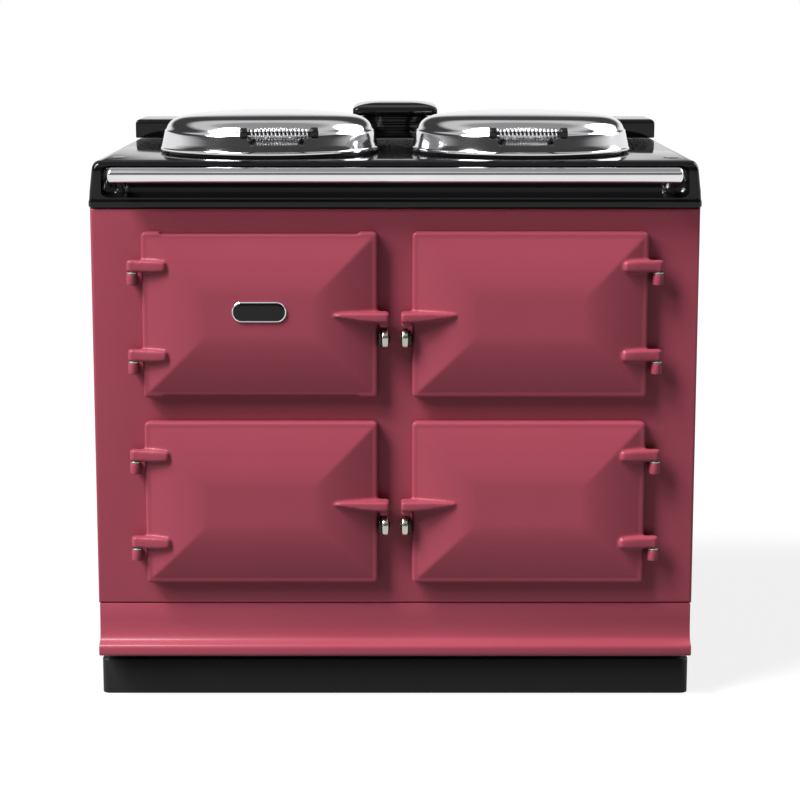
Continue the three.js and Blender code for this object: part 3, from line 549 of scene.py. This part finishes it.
# holes under each lid: radius, middle height and depth
plateLook = {"foot": 817, "top": 892, "half": 493.5, "front": -2.5, "rear": 695.5, "rearShare": 0.3, "corner": 10,
             "edge": ((0, 2.4), (0.7, 1), (2, 0.2), (4, 0), (8, 0), (10.5, 0.3), (13, 1), (19, 1.4), (26, 1.8),
                      (42, 3.5), (58, 5), (64, 5.9), (68, 7.3), (70.6, 8.9), (72.8, 11), (74.2, 13.3), (75, 16.5)),
             "holes": ((174, 882.5, 21), (150, 850, 90))}
# the recess behind the handrail: its section (y, z) from its middle, and its ends as shares of that section
pocketLook = {"top": 884, "bottom": 831, "depth": 19, "half": 472, "mouth": -12, "round": 8, "startDepth": 0.55,
              "startHeight": 0.775, "ends": ((0.55, 0), (0.7, 1.4), (0.82, 4), (0.93, 8), (1, 14)),
              "floor": ((0, 26), (1, 19), (4, 12), (9.5, 6.5), (19, 2.6))}


def pocket(look):
    deep, top, bottom, mouth = look["depth"], look["top"], look["bottom"], look["mouth"]
    points = [(mouth, top), (deep - look["round"] - 1, top)]
    points += arc((deep - look["round"], top - look["round"]), look["round"], 90, 0, 5)
    points += [(deep - inset, bottom + rise) for inset, rise in look["floor"]] + [(mouth, bottom)]
    middle, span = (top + bottom) / 2, 2 * look["half"]
    shares = look["ends"] + tuple((share, span - x) for share, x in reversed(look["ends"]))
    outline = [at(-look["half"], (y - mouth) * look["startDepth"] + mouth, middle + (z - middle) * look["startHeight"])
               for y, z in points]
    steps = []
    for (share, x), (nextShare, nextX) in zip(shares, shares[1:]):
        taller = (1 + nextShare) / (1 + share)
        centre = at(nextX - look["half"], mouth, middle)
        steps.append((((nextX - x) * mm, 0, 0), (1, nextShare / share, taller), centre))
    return swept("pocket", outline, steps)


plate = stacked("topPlateCasting", plateLook, plateLook["edge"])
cutBy(plate, pocket(pocketLook))
for name, x, turn in lidPlaces:
    for radius, height, depth in plateLook["holes"]:
        cutBy(plate, rodAlong("hole", "z", radius, at(x, lidY, height), depth, 96))
activate(plate)
bpy.ops.object.duplicate()
plateShape = bpy.context.object  # fits the handrail's posts to the plate
dressed(plate, "black", "casing", ["top_plate"], 35)

cornerPlugLook = {"x": 452, "y": 75,
                  "profile": ((0, -2), (12.2, -2), (12.8, -0.4), (12.8, 0.3), (12.3, 0.8), (11, 1), (0, 1.3))}
for side, name in ((-1, "leftCornerPlug"), (1, "rightCornerPlug")):
    place = at(side * cornerPlugLook["x"], cornerPlugLook["y"], plateLook["top"])
    plug = turned(name, cornerPlugLook["profile"], "z", place, 48)
    dressed(plug, "black", "casing", (), 50)

# stand: each post's radius and distance from the rail's middle; lean: how far it tips down towards the plate
railLook = {"radius": 12.5, "half": 456, "y": -32, "z": 872, "round": 6, "post": 440, "lean": 26, "seat": 0.3,
            "stand": ((0, 0), (8.5, 0), (8.5, 19), (7.8, 23), (7.8, 41), (9, 44), (10.4, 46), (10.8, 48),
                      (10.8, 60), (0, 60))}
rail = rodAlong("rail", "x", railLook["radius"], at(0, railLook["y"], railLook["z"]), 2 * railLook["half"], 64)
bevelled(rail, railLook["round"], 6, 40)
pair = []
for side in (-1, 1):
    place = at(side * railLook["post"], railLook["y"], railLook["z"])
    post = turned("post", railLook["stand"], "z", place, 40)
    swung(post, -(90 + railLook["lean"]), "X", place)
    pair.append(post)
posts = joined(pair, "posts")
plateShape.location = (0, -railLook["seat"] * mm, railLook["seat"] * mm)
cutBy(posts, plateShape)
dressed(joined([rail, posts], "handrailTube"), "rail", "casing", ["handrail"], 35)

upstandLook = {"half": 487.5, "y": (571, 695.5), "z": (892.3, 927), "topRound": 8, "round": 2.2,
               "notchHalf": 63.3, "notchY": (560, 681.8), "notchZ": (880, 940)}
upstand = block("upstand", (-upstandLook["half"], upstandLook["half"]), upstandLook["y"], upstandLook["z"])
topLine = (upstandLook["z"][1] - 1) * mm
bevelEdges(upstand, lambda first, second: min(first.z, second.z) > topLine and abs(first.x - second.x) < mm,
           upstandLook["topRound"], 5)
bevelled(upstand, upstandLook["round"], 3, 30)
notchX = (-upstandLook["notchHalf"], upstandLook["notchHalf"])
cutBy(upstand, block("notch", notchX, upstandLook["notchY"], upstandLook["notchZ"]))
dressed(upstand, "black", "casing", ["rear_upstand"])

# fin: how far one louvre's edge stands in, and the share of its pitch where it does
ventLook = {"foot": 892.3, "tall": 42.7, "louvres": 4, "half": 63, "front": 558, "rear": 681.5, "corner": 4,
            "fin": ((5, 0), (5, 0.3), (4, 0.4), (0.8, 0.47), (0, 0.53), (0, 0.72), (0.8, 0.79), (4, 0.86), (5, 0.92))}
pitch = ventLook["tall"] / ventLook["louvres"]
fins = [((i + share) * pitch, inset) for i in range(ventLook["louvres"]) for inset, share in ventLook["fin"]]
fins.append((ventLook["tall"], ventLook["fin"][0][0]))
dressed(stacked("ventLouvres", ventLook, fins), "black", "casing", ["vent_stack"], 35)

capLook = {"foot": 935.3, "half": 79, "front": 542, "rear": 691.5, "corner": 10,
           "dome": ((0, 6), (0.6, 2.4), (2, 0.8), (4.5, 0), (11, 0), (12.6, 0.5), (14.4, 2.4), (16.4, 6), (18.6, 12),
                    (20.6, 20), (22.2, 30), (23.2, 44), (23.7, 60))}
dressed(stacked("ventCapDome", capLook, capLook["dome"]), "black", "casing", ["vent_cap"], 50)
print("top, rail and rear modelled")


# lids: profiles of the dome and its lining; the arm's side (y, z) runs back to the knuckle on the hinge pin
lidLook = {"rise": 892, "shell": ((178, 4), (182.4, 4), (184.6, 4.3), (185.8, 5.2), (186, 6.6), (185.6, 8.4),
                                  (184.5, 9.3), (184, 10.6), (182.3, 19), (180.4, 28), (179.3, 33.4), (178.7, 35.9),
                                  (178, 37.3), (177.4, 38), (176.7, 38.3), (176, 39.3), (174.6, 42.8), (172.4, 46.8),
                                  (169, 51), (164, 55), (157, 58.6), (148, 61.4), (136, 63.6), (120, 65.5),
                                  (98, 67.2), (70, 68.7), (36, 69.7), (0, 70), (0, 9.9), (178, 9.9), (178, 4)),
           "lining": ((0, 9.6), (177.6, 9.6), (177.6, 4.6), (168, 4.6), (164, 6.6), (0, 6.6)),
           "arm": ((176, 16), (207, 21), (207, 39), (176, 37)), "armRound": 2, "back": 218, "up": 30,
           "knuckle": 20, "knuckleRadius": 12, "knuckleRound": 1.2, "bore": 5.3, "boreLength": 60}
# handle: bowl is the lid's outside, which the posts are cut to; turns, wire, radius and swell shape the spring
handleLook = {"out": 210, "up": 43, "half": 57, "rod": 3, "post": 5.2, "postLength": 42,
              "boss": ((0, -6.2), (7, -6.2), (8.6, -5.6), (9.3, -4.4), (9.3, 4.4), (8.6, 5.6), (7, 6.2), (0, 6.2)),
              "bowl": ((0, 2), (186.3, 2), (186.3, 9), (184.3, 10.9), (179.6, 33.6), (177.6, 38.2), (174.9, 43.2),
                       (172.7, 47.1), (169.3, 51.3), (160, 58), (0, 66), (0, 2)),
              "turns": 15, "points": 20, "wire": 3.1, "radius": 6.6, "swell": 2.65, "bulge": 0.7, "reach": 50.7}
hotplateLook = {"profile": ((0, 6), (150, 6), (169, 6), (171.3, 5.2), (172, 3.8), (172, -19.6), (148, -19.6),
                            (148, -59.6), (0, -59.6))}
# lid hinge: a foot on the plate, two ears beside the knuckle and the pin through them
lidHingeLook = {"footHalf": 29, "footY": (202, 242), "footZ": (892.3, 899), "footRound": 2,
                "ear": [(202, 893), (234, 893), (230, 922)] + arc((218, 922), 12, 0, 180, 12)[1:], "earIn": 20.3,
                "earThick": 8.7, "earRound": 1, "pin": 5, "pinLength": 58.4, "pinRound": 0.8}


def helix(look, x, y, z):
    points = []
    total = look["turns"] * look["points"]
    coiled = look["reach"] - look["wire"]
    for i in range(total + 1):
        share = i / total
        angle = share * look["turns"] * 2 * math.pi
        radius = look["radius"] + look["swell"] * math.sin(share * math.pi) ** look["bulge"]
        points.append(at(x + (2 * share - 1) * coiled, y + radius * math.cos(angle), z + radius * math.sin(angle)))
    return points


def wired(name, points, radius):
    # a drawn line turned into round wire
    chain(name, points)
    bpy.ops.object.mode_set(mode="OBJECT")
    bpy.ops.object.convert(target="CURVE")
    wire = bpy.context.object
    wire.data.bevel_depth, wire.data.bevel_resolution, wire.data.use_fill_caps = radius * mm, 3, True
    bpy.ops.object.convert(target="MESH")
    return bpy.context.object


def lid(name, x, look):
    centre, pinPlace = at(x, lidY, look["rise"]), at(x, lidY + look["back"], look["rise"] + look["up"])
    shell = turned(f"{name}LidShell", look["shell"], "z", centre, 128)
    side = [at(x - look["knuckle"], lidY + y, look["rise"] + z) for y, z in look["arm"]]
    arm = bevelled(extruded("arm", side, (2 * look["knuckle"], 0, 0)), look["armRound"], 3, 40)
    knuckle = rodAlong("knuckle", "x", look["knuckleRadius"], pinPlace, 2 * look["knuckle"], 48)
    bevelled(knuckle, look["knuckleRound"], 2, 40)
    for piece in (arm, knuckle):
        cutBy(piece, rodAlong("bore", "x", look["bore"], pinPlace, look["boreLength"], 32))
    shell = joined([shell, arm, knuckle], f"{name}LidShell")
    dressed(shell, "chrome", f"{name}_lid", [f"lid_{name}"], 38)
    lining = turned(f"{name}LidLining", look["lining"], "z", centre, 96)
    dressed(lining, "steel", f"{name}_lid", (), 30)


def lidHandle(name, x, turn, look):
    centre = at(x, lidY, lidLook["rise"])
    y, z = lidY - look["out"], lidLook["rise"] + look["up"]
    metal = [rodAlong("rod", "x", look["rod"], at(x, y, z), 2 * look["half"], 24)]
    for end in (-1, 1):
        postX = x + end * look["half"]
        metal.append(turned("boss", look["boss"], "x", at(postX, y, z), 40))
        middle = at(postX, y + look["postLength"] / 2, z)
        metal.append(rodAlong("stem", "y", look["post"], middle, look["postLength"], 32))
    for stem in metal[2::2]:
        cutBy(stem, turned("bowl", look["bowl"], "z", centre, 128))
    coil = wired(f"{name}SpringWire", helix(look, x, y, z), look["wire"] / 2)
    handle = joined(metal, f"{name}HandleFrame")
    for piece in (handle, coil):
        swung(piece, turn, "Z", centre)
    dressed(handle, "handle", f"{name}_lid", [f"lid_handle_{name}"], 40)
    dressed(coil, "spring", f"{name}_lid", [f"lid_spring_{name}"], 60)


def lidHinge(name, x, look):
    ends = (x - look["footHalf"], x + look["footHalf"])
    foot = block("foot", ends, [lidY + y for y in look["footY"]], look["footZ"])
    pieces = [bevelled(foot, look["footRound"], 3, 40)]
    for end in (-1, 1):
        outline = [at(x + end * look["earIn"], lidY + y, z) for y, z in look["ear"]]
        pieces.append(bevelled(extruded("ear", outline, (end * look["earThick"], 0, 0)), look["earRound"], 2, 50))
    pinPlace = at(x, lidY + lidLook["back"], lidLook["rise"] + lidLook["up"])
    pin = rodAlong("pin", "x", look["pin"], pinPlace, look["pinLength"], 32)
    pieces.append(bevelled(pin, look["pinRound"], 2, 40))
    dressed(joined(pieces, f"{name}LidHinge"), "chrome", "casing", [f"lid_hinge_{name}"], 35)


for name, x, turn in lidPlaces:
    lid(name, x, lidLook)
    lidHandle(name, x, turn, handleLook)
    hotplate = turned(f"{name}Hotplate", hotplateLook["profile"], "z", at(x, lidY, lidLook["rise"]), 128)
    dressed(hotplate, "iron", "casing", [f"hotplate_{name}"], 35)
    lidHinge(name, x, lidHingeLook)
print("lids modelled")


panelLook = {"half": 491, "y": (0, 40), "z": (160.3, 816.7), "wall": 12, "round": 5, "mouth": (176, 121, 14)}
panel = block("frontPanelCasting", (-panelLook["half"], panelLook["half"]), panelLook["y"], panelLook["z"])
bevelEdges(panel, lambda first, second: max(first.y, second.y) < faceY + mm, panelLook["round"], 4)
inside = panelLook["half"] - panelLook["wall"]
heights = (panelLook["z"][0] + panelLook["wall"], panelLook["z"][1] - panelLook["wall"])
cutBy(panel, block("hollow", (-inside, inside), (panelLook["wall"], panelLook["y"][1] + 20), heights))
for name, x, z, side in doors:
    outline = [at(x + u, -5, z + v) for u, v in outlined(*panelLook["mouth"], 6)]
    cutBy(panel, extruded("mouth", outline, (0, 30, 0)))
dressed(panel, "enamel", "casing", ["front_panel"])

# the base moulding's section (y, z): a round foot, a bead and the cove that runs up to the front panel
mouldingLook = {"half": 489, "round": 1,
                "foot": [(40, 75.3)] + arc((-15, 80.3), 5, 270, 180, 6) + arc((-12, 88), 8, 180, 112, 6),
                "cove": [(-12.5, 96.3), (-9.6, 97.4), (-7, 99.1), (-5, 101.4), (-3.4, 104.5), (-2.2, 108.5),
                         (-1.2, 114), (-0.5, 121), (-0.1, 129), (0, 134), (0, 160), (40, 160)]}
section = [at(-mouldingLook["half"], y, z) for y, z in mouldingLook["foot"] + mouldingLook["cove"]]
moulding = extruded("baseMouldingCasting", section, (2 * mouldingLook["half"], 0, 0))
bevelled(moulding, mouldingLook["round"], 2, 60)
dressed(moulding, "enamel", "casing", ["base_moulding"])

# lug: the round boss under each hinge strap and the web that ties it to the panel
lugLook = {"radius": 9, "tall": 18, "round": 1.2, "gap": 0.3, "webHalf": 4.5, "webLow": 17.3, "webHigh": 2.3,
           "webRound": 1}
pinLook = {"washer": 2.4, "profile": ((0, -3), (4.5, -3), (4.5, 0), (8.6, 0), (9, 0.4), (9, 2), (8.6, 2.4),
                                      (4.5, 2.4), (4.5, 13.6), (3.9, 14.2), (0, 14.2))}
# catch: a cheek on the panel carries an axle through the wheel, one on each side of the middle
catchLook = {"drop": 37, "y": -22, "cheek": (16, 13, 9), "cheekX": 21.3, "cheekY": -16.3, "cheekThick": 4.5,
             "cheekRound": 0.8, "axle": 4, "axleX": 15, "axleLength": 14.4, "headX": 9.7, "wheelX": 16,
             "head": ((0, -1), (6.2, -1), (6.5, -0.6), (6.5, 0.4), (5.6, 1), (0, 1)),
             "wheel": ((4.3, -5), (15.4, -5), (16.4, -4.6), (17, -3.6), (17, 3.6), (16.4, 4.6), (15.4, 5), (4.3, 5),
                       (4.3, -5))}


def hingeLug(name, level, x, z, look):
    # z is the height of the washer's underside
    y = -hingeLook["proud"]
    lug = rodAlong("lug", "z", look["radius"], at(x, y, z - look["gap"] - look["tall"] / 2), look["tall"], 40)
    ends, heights = (x - look["webHalf"], x + look["webHalf"]), (z - look["webLow"], z - look["webHigh"])
    web = block("web", ends, (y, -look["gap"]), heights)
    pieces = [bevelled(lug, look["round"], 3, 40), bevelled(web, look["webRound"], 2, 40)]
    lug = joined(pieces, f"{name}{level.title()}Lug")
    dressed(lug, "enamel", "casing", [f"hinge_pin_{name}_{level}"])
    pin = turned(f"{name}{level.title()}Pin", pinLook["profile"], "z", at(x, y, z), 32)
    dressed(pin, "steel", "casing", [f"hinge_pin_{name}_{level}"])


def catch(name, side, z, look):
    outline = [at(side * look["cheekX"], look["cheekY"] + u, z + v) for u, v in outlined(*look["cheek"], 6)]
    cheek = extruded("cheek", outline, (side * look["cheekThick"], 0, 0))
    bevelled(cheek, look["cheekRound"], 2, 50)
    axle = rodAlong("axle", "x", look["axle"], at(side * look["axleX"], look["y"], z), look["axleLength"], 32)
    head = turned("head", look["head"], "x", at(side * look["headX"], look["y"], z), 32)
    bracket = joined([cheek, axle, head], f"{name}CatchBracket")
    dressed(bracket, "handle", "casing", [f"catch_bracket_{name}"])
    wheel = turned(f"{name}CatchWheel", look["wheel"], "x", at(side * look["wheelX"], look["y"], z), 64)
    dressed(wheel, "wheel", f"{name}_wheel", [f"catch_wheel_{name}"])


for name, x, z, side in doors:
    pinX = x + side * (doorLook["width"] / 2 + hingeLook["out"])
    for level, rise in zip(("top", "bottom"), hingeLook["rises"]):
        under = z + rise - hingeLook["drop"] - hingeLook["half"] - lugLook["gap"]
        hingeLug(name, level, pinX, under - pinLook["washer"], lugLook)
    catch(name, side, z - catchLook["drop"], catchLook)
print("front fittings modelled")


def framed(name, x, z, half, tall, corner, steps):
    # a plate seen from the front: each step says how far it stands in from the edge, and its y
    points = [at(x + u, steps[0][1], z + v) for u, v in outlined(half - steps[0][0], tall - steps[0][0], corner, 8)]
    moves = []
    for before, after in zip(steps, steps[1:]):
        share = ((half - after[0]) / (half - before[0]), 1, (tall - after[0]) / (tall - before[0]))
        moves.append(((0, (after[1] - before[1]) * mm, 0), share, at(x, after[1], z)))
    return swept(name, points, moves)


# name plate: a chrome rim round a black face; each step (inset, how far it stands out from the back)
namePlateLook = {"x": -217.5, "z": 654, "half": 43.5, "tall": 16.5, "back": -40.3, "rimCorner": 15.5,
                 "rim": ((0.8, 0), (0, 0.6), (0, 1.8), (0.6, 2.4), (1.4, 2.4), (1.8, 1.9)), "faceIn": 1.9,
                 "faceCorner": 14.2, "face": ((0, 1.7), (0.2, 2.1), (1.4, 2.8), (3.6, 3.4), (7, 3.8), (11, 4))}


def platePart(name, inset, corner, steps):
    look = namePlateLook
    steps = [(stepIn, look["back"] - out) for stepIn, out in steps]
    return framed(name, look["x"], look["z"], look["half"] - inset, look["tall"] - inset, corner, steps)


rim = platePart("namePlateRim", 0, namePlateLook["rimCorner"], namePlateLook["rim"])
dressed(rim, "chrome", "upper_left_door", ["name_plate"])
face = platePart("namePlateFace", namePlateLook["faceIn"], namePlateLook["faceCorner"], namePlateLook["face"])
dressed(face, "black", "upper_left_door", ["name_plate"], 50)

plinthLook = {"foot": 0, "half": 490, "front": 15, "rear": 687.5, "corner": 12, "wall": 20,
              "levels": ((0, 0.8), (0.8, 0), (57.5, 0), (59, 1.2))}
plinth = stacked("plinthCasting", plinthLook, plinthLook["levels"])
inside = plinthLook["half"] - plinthLook["wall"]
depth = (plinthLook["front"] + plinthLook["wall"], plinthLook["rear"] - plinthLook["wall"])
cutBy(plinth, block("inside", (-inside, inside), depth, (-2, 61)))
dressed(plinth, "satin", "casing", ["plinth"])

doorPlugLook = {"half": 168, "tall": 113, "corner": 14, "round": 0.8,
                "steps": ((0, -0.7), (0, 24), (0.8, 27), (2.4, 29.4), (5, 31.6), (8, 33), (11, 33.8))}
for name, x, z, side in doors[1:]:
    plug = framed(f"{name}DoorPlug", x, z, doorPlugLook["half"], doorPlugLook["tall"], doorPlugLook["corner"],
                  doorPlugLook["steps"])
    bevelled(plug, doorPlugLook["round"], 2, 50)
    dressed(plug, "steel", f"{name}_door", [f"door_plug_{name}"], 35)

# knob: (how far in from its radius, share of its depth, millimetres more), and its mark's sizes
knobLook = {"skirt": ((5, 0, 0), (2.8, 0, 0.8), (1.5, 0, 3), (0.6, 0.72, 0), (0, 0.8, 0), (0, 1, -0.6), (0.8, 1, 0)),
            "markHalf": 0.8, "markOut": 0.1, "markIn": 0.6, "markFrom": 0.35, "markShort": 4}
for number in (1, 2, 3):
    low, high = [Vector(corner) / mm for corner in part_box(f"control_knob_{number}")]
    radius, depth = (high.x - low.x) / 2, high.y - low.y
    x, z = (low.x + high.x) / 2, (low.z + high.z) / 2
    profile = [(radius - inset, depth * share + more) for inset, share, more in knobLook["skirt"]]
    place = (x * mm, low.y * mm, z * mm)
    knob = turned(f"controlKnob{number}", [(0, 0)] + profile + [(0, depth)], "y", place, 64)
    corners = ((x - knobLook["markHalf"], low.y - knobLook["markOut"], z + radius * knobLook["markFrom"]),
               (x + knobLook["markHalf"], low.y + knobLook["markIn"], z + radius - knobLook["markShort"]))
    mark = boxBetween("mark", *[tuple(Vector(corner) * mm) for corner in corners])
    dressed(knob, "handle", f"knob_{number}", [f"control_knob_{number}"])
    dressed(mark, "chrome", f"knob_{number}", ())
print("small pieces modelled")


# finishes on the nodes that keep their own shape
slotFinishes = {"enamel": "enamel", "black_enamel": "black", "satin_black": "satin", "chrome": "chrome",
                "cast_iron": "iron", "steel": "steel", "oven_enamel": "oven"}
for row in frame["record"]["subparts"]:
    node = nodes[row["node"]]
    node.data.materials.clear()
    node.data.materials.append(finishes[slotFinishes[row["material_slot"]]])
for name in ("back_panel", "foot_front_left", "foot_front_right", "foot_rear_left", "foot_rear_right"):
    nodes[name].data.materials[0] = finishes["zinc"]
print("frame nodes dressed")


# the floor's own colour keeps the shadow, and its glow whitens it for the rays that show the background
floorLook = {"side": 40, "colour": (0.15, 0.15, 0.15, 1), "roughness": 0.95, "glow": 0.82}
deselect()
bpy.ops.mesh.primitive_plane_add(size=1, location=(0, 0, 0))
bpy.context.object.scale = (floorLook["side"], floorLook["side"], 1)
floor = named("floor")
ground = Finish("paleFloor", {"Base Color": floorLook["colour"], "Roughness": floorLook["roughness"],
                              "Specular IOR Level": 0.0, "Emission Strength": 1.0})
ground.drive("Emission Color", ground.blend(ground.shown() * floorLook["glow"], (0, 0, 0, 1), (1, 1, 1, 1)))
floor.data.materials.append(ground.material)

# white from the floor line up, a dark band above it and a pale ceiling, the same for seen and mirrored rays
studioLook = {"ambient": 0.08,
              "heights": ((0, 1.0), (0.156, 1.0), (0.26, 0.06), (0.53, 0.06), (0.64, 0.7), (0.77, 0.7), (0.87, 0.36))}
world = bpy.data.worlds.new("studio")
bpy.context.scene.world = world
world.use_nodes = True
studio = Nodes(world.node_tree)
height = studio.add("SeparateXYZ", {}, {0: studio.add("TexCoord", {}, {}, "Generated")}, "Z")
stops = [(place, (level, level, level, 1)) for place, level in studioLook["heights"]]
level = studio.add("ValToRGB", {"stops": stops}, {0: height})
strength = studio.add("Mix", {}, {0: studio.shown(), 2: studioLook["ambient"], 3: level})
background = studio.tree.nodes["Background"]
studio.feed(background.inputs["Color"], (1, 1, 1, 1))
studio.feed(background.inputs["Strength"], strength)

lamps = {"keyLamp": {"from": (-0.5, -0.28, 0.82), "energy": 4.5, "angle": 20},
         "sideLamp": {"from": (-0.72, -0.38, 0.58), "energy": 2.4, "angle": 26},
         "backLamp": {"from": (0.75, 0.45, 0.48), "energy": 1.6, "angle": 40}}
for name, look in lamps.items():
    deselect()
    bpy.ops.object.light_add(type="SUN", location=tuple(3 * Vector(look["from"])))
    lamp = bpy.context.object
    lamp.name = name
    lamp.data.energy, lamp.data.angle = look["energy"], math.radians(look["angle"])
    lamp.rotation_euler = Vector(look["from"]).to_track_quat("Z", "Y").to_euler()

cameraLook = {"place": (0, -3.5545, 1.137), "pitch": 8.84, "lens": 90.8, "shift": (0.0061, -0.1)}
deselect()
tilt = math.radians(90 - cameraLook["pitch"])
bpy.ops.object.camera_add(location=cameraLook["place"], rotation=(tilt, 0, 0))
camera = bpy.context.object
camera.data.lens = cameraLook["lens"]
camera.data.shift_x, camera.data.shift_y = cameraLook["shift"]
bpy.context.scene.camera = camera
bpy.context.scene.view_settings.view_transform = "Standard"
print("stage set")
